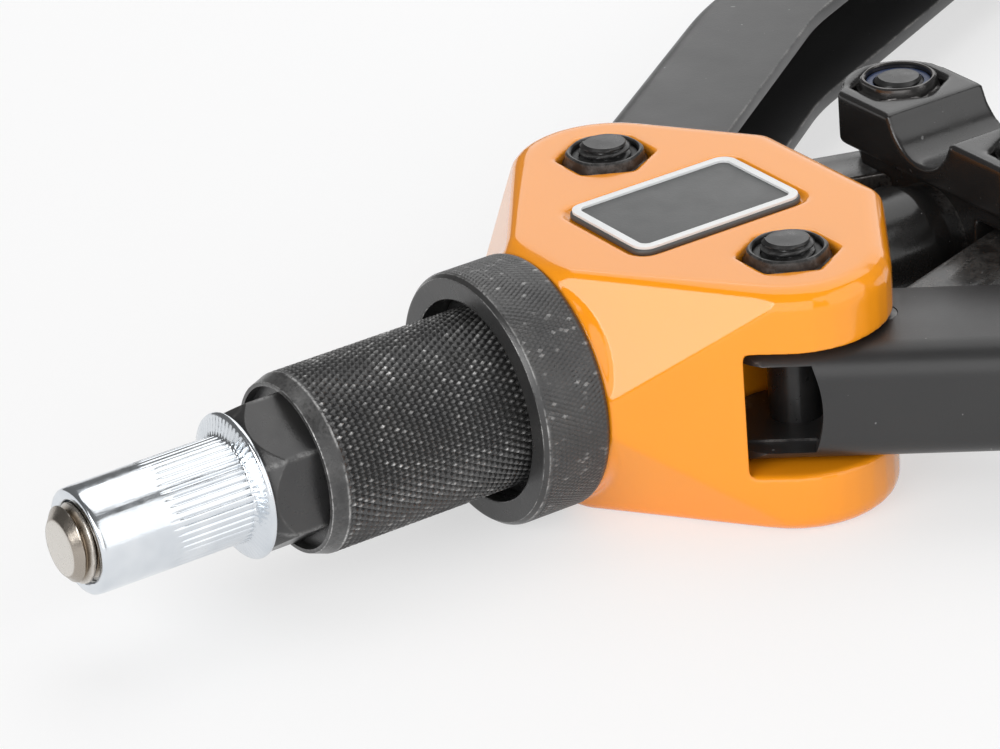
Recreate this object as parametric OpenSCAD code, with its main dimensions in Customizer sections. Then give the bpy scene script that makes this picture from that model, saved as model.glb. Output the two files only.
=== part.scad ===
// Two-hand lever tool that sets blind rivet nuts.
// The nose points to -Y and the grips to +Y; X runs across the tool and +Z is up.
// The origin lies on the flat lower face of the head, under the tool axis, midway between the lever pivots.

/* [Head casting] */
// Height of the head between its two flat faces
head_h = 39; // [38:0.5:42]
// Distance from the tool axis to each lever pivot
pivot_x = 23.7; // [23.2:0.1:24.5]
// Radius of the ears on the flat faces
ear_r = 12; // [11.5:0.5:13]
// Rounding of the casting's outer edges
edge_r = 3; // [2.6:0.2:4]
// Rear edge of the flat faces
head_rear_y = 21.5; // [20:0.5:23]
// Half width of the rear edge
rear_half_w = 13; // [11:0.5:15]
// Front edge of the flat faces
head_front_y = -27; // [-28:0.5:-25]
// Half width of the front edge
front_half_w = 8; // [6:0.5:9]
// Half width at the top of the slanted facets
facet_top_x = 9.9; // [9.4:0.1:10.4]
// Height above the axis of the top of the slanted facets
facet_top_z = 17.7; // [17.2:0.1:18.2]
// Half width at the bottom of the slanted facets
facet_low_x = 18.3; // [17.8:0.1:18.6]
// Height above the axis of the bottom of the slanted facets
facet_low_z = 6.9; // [6:0.1:8]
// Radius of the round neck behind the lock ring
neck_r = 19; // [18.6:0.1:19.6]
// Height of the slot that takes each lever
slot_h = 19.6; // [19.2:0.1:21]
// Front wall of the lever slots
slot_front_y = -14; // [-15:0.5:-12]
// Half width of the rib between the lever slots
rib_half_w = 13.5; // [13:0.1:13.8]

/* [Badge] */
// Width of the bare badge on the upper face
badge_w = 20.6; // [18:0.2:21]
// Length of the badge
badge_l = 30; // [26:0.5:32]
// Middle of the badge along the tool
badge_y = -1.6; // [-3:0.1:0]
// Width of the raised frame round the badge
badge_frame_w = 1.7; // [1:0.1:2.5]

/* [Nose] */
// Outer radius of the knurled lock ring
ring_r = 19.5; // [19:0.1:19.5]
// Front face of the lock ring
ring_front_y = -41.1; // [-42:0.1:-40]
// Rear face of the lock ring, on the neck
ring_rear_y = -29.8; // [-30:0.1:-29.8]
// Radius of the recess in the lock ring's front
ring_recess_r = 15.6; // [15:0.1:16.5]
// Outer radius of the knurled stroke sleeve
sleeve_r = 13.81; // [13.5:0.01:14]
// Front face of the stroke sleeve
sleeve_front_y = -73.3; // [-75:0.1:-72]
// Radius of the sleeve's screwed end in the head
sleeve_thread_r = 12; // [11.8:0.1:12]
// Width across the flats of the nosepiece
nose_flats = 20.5; // [20:0.1:21]
// Turn of the nosepiece's hexagon about the tool axis
nose_turn = 34; // [0:1:59]
// Front face of the nosepiece, where the rivet nut seats
nose_front_y = -81.2; // [-82:0.1:-80.5]

/* [Rivet nut and mandrel] */
// Shank radius of the rivet nut
nut_r = 8; // [7.9:0.05:8.1]
// Length of the rivet nut over its flange
nut_l = 26.3; // [24:0.1:27]
// Flange radius of the rivet nut
nut_flange_r = 11.05; // [10.8:0.05:11.5]
// Thickness of the rivet nut's flange at its rim
nut_flange_t = 0.9; // [0.8:0.1:1.2]
// Outer radius of the mandrel's thread
mandrel_r = 5.95; // [5.9:0.01:6]
// How far the mandrel's tip stands out of the rivet nut
mandrel_tip = 3.4; // [2:0.1:4]

/* [Draw gear] */
// Outer radius of the draw tube
tube_r = 10; // [9.8:0.1:10]
// Front face of the yoke
yoke_front_y = 41.8; // [41:0.1:42.5]
// Distance from the tool axis to each link pivot on the yoke
link_pivot_x = 17.5; // [17.3:0.1:18]
// Place of the link pivots along the tool
link_pivot_y = 51.5; // [51:0.1:52]
// Half height of the yoke
yoke_half_h = 18.7; // [18:0.1:19]
// Thickness of the links
link_t = 11.6; // [10:0.2:12]
// Width of the links
link_w = 10.4; // [9.6:0.2:10.6]

/* [Levers and grips] */
// Angle of each open lever from the tool axis
lever_angle = 37.5; // [36:0.5:39]
// Height of the lever's channel
lever_h = 18.2; // [17.8:0.1:18.6]
// Distance from the lever's pivot to the outer face of its web
lever_web_x = 13.4; // [12.8:0.1:13.6]
// Distance from the lever's pivot to the inner edges of its flanges
lever_inner_x = 8.6; // [8.2:0.1:8.8]
// Thickness of the lever's sheet steel
lever_t = 2.5; // [2:0.1:2.6]
// Straight length from the pivot to the bend
lever_shank_l = 80; // [70:1:100]
// Inward bend of the lever
lever_bend = 10.5; // [5:0.5:12]
// Straight length behind the bend
lever_tail_l = 222; // [180:1:260]
// Length of the rubber grips
grip_l = 128; // [100:1:150]

/* [Hidden] */
axis_h = head_h / 2;
clear = 0.05;
bolt_r = 4;
bolt_hole_r = bolt_r + 0.1;
bolt_flats = 13;
bolt_head_h = 5.3;
nut_h = 8;
nut_hex_h = 6.2;
nut_seat_h = 5.8;
nut_ring_r = 5.2;
pocket_depth = 7;
pocket_play = 0.15;
bolt_inset = 0.7;
badge_inset = 0.8;
badge_t = 1;
neck_front_y = ring_rear_y + 0.02;
nut_front_y = nose_front_y - nut_l;
tip_y = nut_front_y - mandrel_tip;
sleeve_step_y = ring_front_y + 3.9;
sleeve_rear_y = -17;
sleeve_recess = 1.5;
nose_seat_y = sleeve_front_y + sleeve_recess;
spigot_r = 9;
spigot_rear_y = -59;
tube_front_y = -52;
tube_bore_r = 8.6;
retainer_l = 6;
head_gap = 0.2;
mandrel_head_y = tube_front_y + retainer_l + head_gap;
mandrel_head_l = 9.8;
socket_flats = 8;
shaft_r = 5;
tube_spigot_r = 7.5;
tube_spigot_l = 12;
yoke_rear_y = 60.5;
boss_rear_y = 64;
washer_t = 2;
knob_front_y = boss_rear_y + washer_t + 0.3;
knob_l = 24;
knob_r = 12.5;
yoke_eye_r = 9;
plate_inner_h = 9.9;
pad_inner_h = 6.4;
pad_inset = 2.3;
pin_r = 3;
pin_play = 0.6;
// The link pin sits on the lever's middle line, far enough from the pivot to lie under the ear.
pin_reach = 12.6;
lever_corner_r = 4.6;
lever_w = lever_web_x + lever_inner_x;
lever_mid_x = (lever_web_x - lever_inner_x) / 2;
bend_r = 60;
bend_steps = 5;
web_bite_r = 18.8;
web_bite_y = -14.3;
web_bite_h = 14;
grip_start = lever_tail_l - grip_l + 8;
grip_half_w = 13.8;
grip_half_h = 12.8;
grip_corner_r = 8;
paint = [0.93, 0.55, 0.05];
black_steel = [0.09, 0.09, 0.1];
satin_black = [0.13, 0.13, 0.14];
zinc = [0.78, 0.82, 0.86];
nickel = [0.72, 0.69, 0.62];
rubber = [0.06, 0.06, 0.06];
$fn = 96;
hull_fn = 32;

// Circumradius of a hexagon from its width across the flats
function hex_r(flats) = flats / 2 / cos(30);
// A point on the right lever's middle line, that far from the pivot
function on_lever(reach) = [pivot_x + reach * sin(lever_angle), reach * cos(lever_angle)];
link_pin = on_lever(pin_reach);

// Raises its children from the floor to the tool axis
module at_axis() {
    translate([0, 0, axis_h]) children();
}

// Turned piece about the tool axis, from points of radius and place along the tool
module turned(points) {
    at_axis() rotate([-90, 0, 0]) rotate_extrude() polygon(points);
}

// Round or six-sided bar along the tool axis
module bar(r, y0, y1, sides = 96, turn = 0) {
    at_axis() rotate([-90, 0, 0]) translate([0, 0, y0]) rotate(turn)
        cylinder(r = r, h = y1 - y0, $fn = sides);
}

// Both hands of a right-hand shape
module pair() {
    children();
    mirror([1, 0, 0]) children();
}

module rounded_rect(w, l, r) {
    square([w - 2 * r, l], center = true);
    square([w, l - 2 * r], center = true);
    for (sx = [-1, 1], sy = [-1, 1])
        translate([sx * (w / 2 - r), sy * (l / 2 - r)]) circle(r = r, $fn = 32);
}

// One upright of the casting with rounded ends; the head is drawn tight round several of these
module rounded_post(x, y, r) {
    for (t = [0 : 30 : 90]) {
        h = head_h - 2 * edge_r * (1 - cos(t));
        translate([x, y, 0]) cylinder(r = r + edge_r * sin(t), h = h, center = true, $fn = hull_fn);
    }
}

// Front end of the casting: flat above and below, with a slanted facet on each side
module front_outline() {
    w = front_half_w;
    h = head_h / 2;
    polygon([[w, h], [facet_top_x, facet_top_z], [facet_low_x, facet_low_z],
        [facet_low_x, -facet_low_z], [facet_top_x, -facet_top_z], [w, -h],
        [-w, -h], [-facet_top_x, -facet_top_z], [-facet_low_x, -facet_low_z],
        [-facet_low_x, facet_low_z], [-facet_top_x, facet_top_z], [-w, h]]);
}

module head_body() {
    hull() {
        for (side = [-1, 1]) {
            rounded_post(side * pivot_x, 0, ear_r);
            rounded_post(side * rear_half_w, head_rear_y - 1, 1);
        }
        translate([0, head_front_y, 0]) rotate([90, 0, 0]) linear_extrude(0.5, center = true) front_outline();
        rotate([-90, 0, 0]) translate([0, 0, neck_front_y]) cylinder(r = neck_r, h = 3, $fn = 64);
    }
}

module head_casting() {
    slot_reach = 60;
    nut_pocket_r = hex_r(bolt_flats) + pocket_play;
    bolt_pocket_r = hex_r(bolt_flats) + 1;
    badge_border = 1.6;
    color(paint) difference() {
        at_axis() head_body();
        pair() translate([rib_half_w, slot_front_y, axis_h - slot_h / 2])
            cube([slot_reach, slot_reach, slot_h]);
        bar(sleeve_thread_r + clear, neck_front_y - 1, sleeve_rear_y + 1);
        bar(tube_r + clear, neck_front_y, head_rear_y + 10);
        pair() translate([pivot_x, 0, 0]) {
            translate([0, 0, -1]) cylinder(r = bolt_hole_r, h = head_h + 2);
            translate([0, 0, -1]) cylinder(r = bolt_pocket_r, h = bolt_head_h + bolt_inset + 1);
            translate([0, 0, head_h - pocket_depth]) cylinder(r = nut_pocket_r, h = head_h, $fn = 6);
        }
        translate([0, badge_y, head_h - badge_inset]) linear_extrude(head_h)
            rounded_rect(badge_w + badge_border, badge_l + badge_border, 3.2);
    }
}

module badge_plate() {
    color(satin_black) translate([0, badge_y, head_h - badge_inset]) linear_extrude(badge_t)
        rounded_rect(badge_w, badge_l, 2.6);
}

module badge_frame() {
    outer_w = badge_w - 0.6;
    outer_l = badge_l - 0.6;
    frame_z = head_h - badge_inset + badge_t;
    color("white") translate([0, badge_y, frame_z]) linear_extrude(0.4) difference() {
        rounded_rect(outer_w, outer_l, 2.4);
        rounded_rect(outer_w - 2 * badge_frame_w, outer_l - 2 * badge_frame_w, 1.4);
    }
}

// Hexagon bolt standing on its head at the origin
module hex_bolt(reach) {
    cylinder(r = hex_r(bolt_flats), h = bolt_head_h, $fn = 6);
    cylinder(r = bolt_r, h = reach - 1);
    translate([0, 0, reach - 1]) cylinder(r1 = bolt_r, r2 = bolt_r - 0.8, h = 1);
}

// Lock nut with a round collar that holds its plastic ring
module lock_nut() {
    difference() {
        union() {
            intersection() {
                cylinder(r = hex_r(bolt_flats), h = nut_hex_h, $fn = 6);
                cylinder(r1 = 12.7, r2 = 6.2, h = nut_hex_h);
            }
            translate([0, 0, nut_hex_h]) cylinder(r = 6, h = nut_h - nut_hex_h);
        }
        translate([0, 0, -1]) cylinder(r = bolt_r, h = nut_h + 2);
        translate([0, 0, nut_seat_h]) cylinder(r = nut_ring_r, h = nut_h);
    }
}

module lock_nut_ring() {
    translate([0, 0, nut_seat_h]) difference() {
        cylinder(r = nut_ring_r, h = nut_h - nut_seat_h - 0.2);
        translate([0, 0, -1]) cylinder(r = bolt_r, h = nut_h);
    }
}

module pivot_bolts() {
    color(black_steel) pair() translate([pivot_x, 0, bolt_inset]) hex_bolt(head_h + 1.8);
}

module pivot_nuts() {
    color(black_steel) pair() translate([pivot_x, 0, head_h - pocket_depth]) lock_nut();
}

module pivot_nut_rings() {
    color(rubber) pair() translate([pivot_x, 0, head_h - pocket_depth]) lock_nut_ring();
}

module lock_ring() {
    color(black_steel) turned([
        [ring_recess_r, ring_front_y], [ring_r - 0.9, ring_front_y], [ring_r, ring_front_y + 0.9],
        [ring_r, ring_rear_y - 0.5], [ring_r - 0.5, ring_rear_y], [sleeve_thread_r + clear, ring_rear_y],
        [sleeve_thread_r + clear, sleeve_step_y + 0.4], [ring_recess_r, sleeve_step_y + 0.4]]);
}

module stroke_sleeve() {
    color(black_steel) turned([
        [hex_r(nose_flats) + 0.5, sleeve_front_y], [sleeve_r - 0.85, sleeve_front_y],
        [sleeve_r, sleeve_front_y + 2.6], [sleeve_r, sleeve_step_y - 0.4], [sleeve_r - 0.4, sleeve_step_y],
        [sleeve_thread_r, sleeve_step_y], [sleeve_thread_r, sleeve_rear_y], [tube_r + 0.35, sleeve_rear_y],
        [tube_r + 0.35, spigot_rear_y + 3], [spigot_r, spigot_rear_y + 3], [spigot_r, nose_seat_y],
        [hex_r(nose_flats) + 0.5, nose_seat_y]]);
}

module nosepiece() {
    hex = hex_r(nose_flats);
    face_r = 9.9;
    color(black_steel) difference() {
        union() {
            intersection() {
                bar(hex, nose_front_y, nose_seat_y, 6, -nose_turn);
                turned([[0, nose_front_y], [face_r, nose_front_y], [hex + 0.1, nose_front_y + 2.2],
                    [hex + 0.1, nose_seat_y], [0, nose_seat_y]]);
            }
            bar(spigot_r, nose_seat_y, spigot_rear_y);
        }
        bar(mandrel_r + clear, nose_front_y - 1, spigot_rear_y + 1);
    }
}

module rivet_nut() {
    thread_rear_y = nut_front_y + 12.5;
    rim_y = nose_front_y - nut_flange_t;
    cone_l = 0.8;
    counterbore_r = mandrel_r + 0.9;
    color(zinc) turned([
        [mandrel_r + clear, nut_front_y + 0.5], [mandrel_r + 0.5, nut_front_y], [nut_r - 0.6, nut_front_y],
        [nut_r - 0.15, nut_front_y + 0.25], [nut_r, nut_front_y + 0.8], [nut_r, rim_y - cone_l],
        [nut_flange_r - 0.5, rim_y], [nut_flange_r, rim_y + 0.4], [nut_flange_r, nose_front_y - 0.2],
        [nut_flange_r - 0.2, nose_front_y], [counterbore_r, nose_front_y], [counterbore_r, thread_rear_y],
        [mandrel_r + clear, thread_rear_y]]);
}

module mandrel() {
    rear_y = mandrel_head_y + mandrel_head_l;
    color(nickel) difference() {
        turned([[0, tip_y], [4.2, tip_y], [mandrel_r, tip_y + 1.3], [mandrel_r, mandrel_head_y],
            [tube_bore_r - 0.2, mandrel_head_y], [tube_bore_r - 0.2, rear_y], [0, rear_y]]);
        bar(hex_r(socket_flats), rear_y - 8, rear_y + 1, 6);
    }
}

module drive_shaft() {
    seat_y = mandrel_head_y + mandrel_head_l;
    rear_y = knob_front_y + knob_l - 3;
    flange_r = tube_bore_r - 0.4;
    color(satin_black) union() {
        bar(hex_r(socket_flats - 0.1), seat_y - 7.5, seat_y, 6);
        turned([[0, seat_y], [flange_r, seat_y], [flange_r, seat_y + 4], [shaft_r, seat_y + 4],
            [shaft_r, rear_y], [0, rear_y]]);
    }
}

module mandrel_retainer() {
    color(satin_black) turned([[mandrel_r + clear, tube_front_y], [tube_bore_r, tube_front_y],
        [tube_bore_r, tube_front_y + retainer_l], [mandrel_r + clear, tube_front_y + retainer_l]]);
}

module draw_tube() {
    bore_rear_y = 30;
    taper_y = yoke_front_y - 3.8;
    tube_neck_r = tube_r - 1.2;
    seat_y = yoke_front_y + pad_inset;
    spigot_y = yoke_front_y + tube_spigot_l;
    color(satin_black) turned([
        [tube_bore_r, tube_front_y], [tube_r, tube_front_y], [tube_r, taper_y],
        [tube_neck_r, yoke_front_y - 0.2], [tube_neck_r, seat_y], [tube_spigot_r, seat_y],
        [tube_spigot_r, spigot_y],
        [shaft_r + clear, spigot_y], [shaft_r + clear, bore_rear_y], [tube_bore_r, bore_rear_y]]);
}

// Plan of the yoke's plates: two round eyes behind a broad front edge
module yoke_outline(inset) {
    pair() translate([link_pivot_x, link_pivot_y]) circle(r = yoke_eye_r - inset);
    pair() polygon([[0, yoke_front_y + inset], [20.6 - inset, yoke_front_y + inset],
        [link_pivot_x + yoke_eye_r - 0.6 - inset, link_pivot_y - 3.2], [link_pivot_x, yoke_rear_y - inset],
        [0, yoke_rear_y - inset]]);
}

module yoke_plate() {
    chamfer = 0.5;
    full_h = plate_inner_h + chamfer;
    translate([0, 0, full_h]) linear_extrude(yoke_half_h - full_h) yoke_outline(0);
    translate([0, 0, plate_inner_h]) linear_extrude(chamfer) yoke_outline(chamfer * 0.7);
    translate([0, 0, pad_inner_h]) linear_extrude(plate_inner_h - pad_inner_h) yoke_outline(pad_inset);
}

module yoke() {
    block_half_w = 10.9;
    block_front_y = yoke_front_y + pad_inset;
    valley_r = 7.7;
    valley_h = 20.4;
    nut_pocket_r = hex_r(bolt_flats) + pocket_play;
    bolt_pocket_r = hex_r(bolt_flats) + 0.6;
    color(satin_black) difference() {
        union() {
            at_axis() {
                yoke_plate();
                mirror([0, 0, 1]) yoke_plate();
                translate([-block_half_w, block_front_y, -yoke_half_h])
                    cube([2 * block_half_w, yoke_rear_y - block_front_y, 2 * yoke_half_h]);
            }
            bar(11, yoke_rear_y - 1, boss_rear_y);
        }
        at_axis() for (side = [-1, 1])
            translate([0, yoke_front_y - 1, side * valley_h]) rotate([-90, 0, 0])
                cylinder(r = valley_r, h = 40);
        bar(tube_spigot_r, yoke_front_y - 1, yoke_front_y + tube_spigot_l);
        bar(shaft_r + clear, yoke_front_y, boss_rear_y + 1);
        pair() translate([link_pivot_x, link_pivot_y, axis_h]) {
            cylinder(r = bolt_hole_r, h = 60, center = true);
            translate([0, 0, yoke_half_h - pocket_depth]) cylinder(r = nut_pocket_r, h = 20, $fn = 6);
            translate([0, 0, -yoke_half_h - 1])
                cylinder(r = bolt_pocket_r, h = bolt_head_h + bolt_inset + 1);
        }
    }
}

module yoke_bolts() {
    color(black_steel) pair() translate([link_pivot_x, link_pivot_y, axis_h - yoke_half_h + bolt_inset])
        hex_bolt(2 * yoke_half_h + 0.9);
}

module yoke_nuts() {
    color(zinc) pair() translate([link_pivot_x, link_pivot_y, axis_h + yoke_half_h - pocket_depth])
        lock_nut();
}

module yoke_nut_rings() {
    color("steelblue") pair() translate([link_pivot_x, link_pivot_y, axis_h + yoke_half_h - pocket_depth])
        lock_nut_ring();
}

module thrust_washer() {
    color(zinc) turned([[shaft_r + clear, boss_rear_y], [10, boss_rear_y], [10, boss_rear_y + washer_t],
        [shaft_r + clear, boss_rear_y + washer_t]]);
}

module spin_knob() {
    flutes = 12;
    rear_y = knob_front_y + knob_l;
    color(satin_black) difference() {
        turned([[0, knob_front_y], [8.5, knob_front_y], [9, knob_front_y + 3],
            [knob_r - 0.8, knob_front_y + 4.5], [knob_r, knob_front_y + 5.5], [knob_r, rear_y - 1.5],
            [knob_r - 1.5, rear_y], [0, rear_y]]);
        bar(shaft_r, knob_front_y - 1, rear_y - 3);
        bar(hex_r(bolt_flats) + 0.8, rear_y - 8, rear_y + 1);
        for (k = [0 : flutes - 1])
            at_axis() rotate([-90, 0, 0]) rotate(k * 360 / flutes)
                translate([knob_r + 1.3, 0, knob_front_y + 4]) cylinder(r = 2.4, h = knob_l, $fn = 24);
    }
}

module knob_nut() {
    rear_y = knob_front_y + knob_l;
    color(black_steel) difference() {
        bar(hex_r(bolt_flats), rear_y - 8, rear_y - 2.2, 6);
        bar(shaft_r, rear_y - 9, rear_y - 2);
    }
}

// The right link: a flat bar with an eye on the yoke bolt and a free eye round the lever's pin
module link() {
    pivot = [link_pivot_x, link_pivot_y];
    reach = norm(link_pin - pivot);
    turn = atan2(link_pin.y - pivot.y, link_pin.x - pivot.x);
    translate([pivot.x, pivot.y, axis_h - link_t / 2]) rotate(turn) difference() {
        linear_extrude(link_t) union() {
            circle(r = 5.8);
            translate([reach, 0]) circle(r = link_w / 2);
            translate([0, -link_w / 2]) square([reach, link_w]);
        }
        translate([0, 0, -1]) cylinder(r = bolt_r + clear, h = link_t + 2);
        translate([reach, 0, -1]) cylinder(r = pin_r + pin_play, h = link_t + 2);
    }
}

module right_link() {
    color(satin_black) link();
}

module left_link() {
    color(satin_black) mirror([1, 0, 0]) link();
}

module link_rivet() {
    translate([link_pin.x, link_pin.y, axis_h - lever_h / 2]) cylinder(r = pin_r, h = lever_h);
}

module right_link_pin() {
    color(zinc) link_rivet();
}

module left_link_pin() {
    color(zinc) mirror([1, 0, 0]) link_rivet();
}

// One face of the lever's bent sheet in section, set in from the outer face: X across the lever, web on +X
function sheet_face(inset) = let (r = lever_corner_r - inset, x = lever_web_x - lever_corner_r,
    z = lever_h / 2 - lever_corner_r) concat(
    [[-lever_inner_x, z + r]],
    [for (a = [90 : -22.5 : 0]) [x + r * cos(a), z + r * sin(a)]],
    [for (a = [0 : -22.5 : -90]) [x + r * cos(a), -z + r * sin(a)]],
    [[-lever_inner_x, -z - r]]);
function reversed(list) = [for (i = [len(list) - 1 : -1 : 0]) list[i]];
function halves(a, b, c, d) = [[a, b, c], [a, c, d]];
sheet_section = concat(sheet_face(0), reversed(sheet_face(lever_t)));

// Sections along the lever from its heel to its end: place across, place along, and turn
bend_end = [bend_r * (cos(lever_bend) - 1), lever_shank_l + bend_r * sin(lever_bend)];
tail_end = bend_end + lever_tail_l * [-sin(lever_bend), cos(lever_bend)];
stations = concat([[0, -lever_w, 0]],
    [for (k = [0 : bend_steps]) let (a = lever_bend * k / bend_steps)
        [bend_r * (cos(a) - 1), lever_shank_l + bend_r * sin(a), a]],
    [[tail_end.x, tail_end.y, lever_bend]]);

// The pressed channel, swept through its bend in one piece
module channel() {
    n = len(sheet_section);
    last = len(stations) - 1;
    points = [for (s = stations) for (p = sheet_section) [s.x + p.x * cos(s.z), s.y + p.x * sin(s.z), p.y]];
    sides = [for (k = [0 : last - 1]) for (i = [0 : n - 1]) let (j = (i + 1) % n)
        each halves(k * n + i, (k + 1) * n + i, (k + 1) * n + j, k * n + j)];
    front = [for (i = [0 : n / 2 - 2]) each halves(i, i + 1, n - 2 - i, n - 1 - i)];
    rear = [for (t = front) reversed(t) + last * n * [1, 1, 1]];
    polyhedron(points, concat(sides, front, rear));
}

// Carries its children from the lever's pivot frame into the tool: +Y runs along the lever
module on_right_lever() {
    translate([pivot_x, 0, axis_h]) rotate(-lever_angle) children();
}

// Carries its children to the end of the lever's bend, turned along the tail
module on_tail() {
    translate([bend_end.x, bend_end.y, 0]) rotate(lever_bend) children();
}

module along(l) {
    rotate([-90, 0, 0]) linear_extrude(l) children();
}

module lever() {
    on_right_lever() difference() {
        channel();
        difference() {
            translate([-2 * lever_w, -2 * lever_w, -lever_h]) cube([4 * lever_w, 2 * lever_w, 2 * lever_h]);
            translate([lever_mid_x, 0, 0]) cylinder(r = lever_w / 2, h = 3 * lever_h, center = true);
        }
        intersection() {
            translate([lever_web_x - lever_corner_r, web_bite_y, 0]) rotate([0, 90, 0])
                cylinder(r = web_bite_r, h = lever_w);
            cube([4 * lever_w, 4 * lever_w, web_bite_h], center = true);
        }
        cylinder(r = bolt_r + clear, h = 2 * lever_h, center = true);
        translate([0, pin_reach, 0]) cylinder(r = pin_r, h = 2 * lever_h, center = true);
    }
}

module right_lever() {
    color(satin_black) lever();
}

module left_lever() {
    color(satin_black) mirror([1, 0, 0]) lever();
}

module grip_outline(grow) {
    rounded_rect(2 * (grip_half_w + grow), 2 * (grip_half_h + grow), grip_corner_r + grow);
}

// Rubber sleeve on the lever's tail with a guard in front and a closed rear end
module grip() {
    guard_l = 7;
    groove_step = 9;
    on_right_lever() on_tail() translate([lever_mid_x, grip_start, 0]) difference() {
        union() {
            along(grip_l) grip_outline(0);
            along(guard_l) grip_outline(2.5);
            translate([0, grip_l - 9, 0]) along(9) grip_outline(1.2);
        }
        translate([-lever_mid_x, -1, 0]) along(lever_tail_l - grip_start + 1) polygon(sheet_section);
        for (y = [guard_l + 8 : groove_step : grip_l - 18])
            translate([0, y, 0]) along(2.4) difference() {
                square([60, 60], center = true);
                grip_outline(-0.9);
            }
    }
}

module right_grip() {
    color(rubber) grip();
}

module left_grip() {
    color(rubber) mirror([1, 0, 0]) grip();
}

head_casting();
badge_plate();
badge_frame();
pivot_bolts();
pivot_nuts();
pivot_nut_rings();
lock_ring();
stroke_sleeve();
nosepiece();
rivet_nut();
mandrel();
drive_shaft();
mandrel_retainer();
draw_tube();
yoke();
yoke_bolts();
yoke_nuts();
yoke_nut_rings();
thrust_washer();
spin_knob();
knob_nut();
right_link();
left_link();
right_link_pin();
left_link_pin();
right_lever();
left_lever();
right_grip();
left_grip();
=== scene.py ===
"""Looks of a two-hand rivet nut tool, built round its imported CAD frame.
Lengths in the shapes are in millimetres."""

import math

import bmesh
import bpy
import numpy as np
from mathutils import Matrix, Vector


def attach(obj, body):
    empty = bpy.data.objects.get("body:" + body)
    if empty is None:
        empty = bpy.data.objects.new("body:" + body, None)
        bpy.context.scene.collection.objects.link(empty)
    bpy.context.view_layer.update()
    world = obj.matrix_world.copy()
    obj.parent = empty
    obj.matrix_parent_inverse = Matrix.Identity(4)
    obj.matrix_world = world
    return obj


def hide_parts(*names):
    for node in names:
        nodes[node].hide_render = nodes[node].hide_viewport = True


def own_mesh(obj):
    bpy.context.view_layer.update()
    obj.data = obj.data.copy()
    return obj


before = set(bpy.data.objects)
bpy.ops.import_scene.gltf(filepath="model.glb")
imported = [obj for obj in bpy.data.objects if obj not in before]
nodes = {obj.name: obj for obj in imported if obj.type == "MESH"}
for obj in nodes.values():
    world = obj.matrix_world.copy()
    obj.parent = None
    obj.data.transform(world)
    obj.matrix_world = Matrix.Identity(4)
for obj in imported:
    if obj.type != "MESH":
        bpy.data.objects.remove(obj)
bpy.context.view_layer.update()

MM = 0.001
AXIS_H = 19.5
TAU = 2 * math.pi


# Shader helpers
def add(tree, kind, inputs=None, **props):
    """A shader node with its properties set and its inputs set or linked."""
    made = tree.nodes.new(kind)
    for key, value in props.items():
        setattr(made, key, value)
    for key, value in (inputs or {}).items():
        if isinstance(value, bpy.types.NodeSocket):
            tree.links.new(value, made.inputs[key])
        else:
            made.inputs[key].default_value = value
    return made


def noise(tree, coord, scale, detail=2.0, stretch=None):
    if stretch:
        coord = add(tree, "ShaderNodeMapping", {"Vector": coord, "Scale": stretch}).outputs[0]
    made = add(tree, "ShaderNodeTexNoise",
               {"Vector": coord, "Scale": scale, "Detail": detail, "Roughness": 0.6})
    return made.outputs["Fac"]


def span(tree, value, low, high, out_low=0.0, out_high=1.0):
    """Maps a value from one span to another and clamps it."""
    made = add(tree, "ShaderNodeMapRange", {"Value": value, "From Min": low, "From Max": high,
                                            "To Min": out_low, "To Max": out_high})
    return made.outputs["Result"]


def blend_colour(tree, share, first, second):
    made = add(tree, "ShaderNodeMix", data_type="RGBA")
    for index, value in ((0, share), (6, first), (7, second)):
        if isinstance(value, bpy.types.NodeSocket):
            tree.links.new(value, made.inputs[index])
        else:
            made.inputs[index].default_value = (*value, 1.0) if index else value
    return made.outputs[2]


def times(tree, first, second):
    return add(tree, "ShaderNodeMath", {0: first, 1: second}, operation="MULTIPLY").outputs[0]


def larger(tree, first, second):
    return add(tree, "ShaderNodeMath", {0: first, 1: second}, operation="MAXIMUM").outputs[0]


GRAIN_DEPTH = 0.0001
SCRATCH_GREY = (0.3, 0.3, 0.3)


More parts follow.
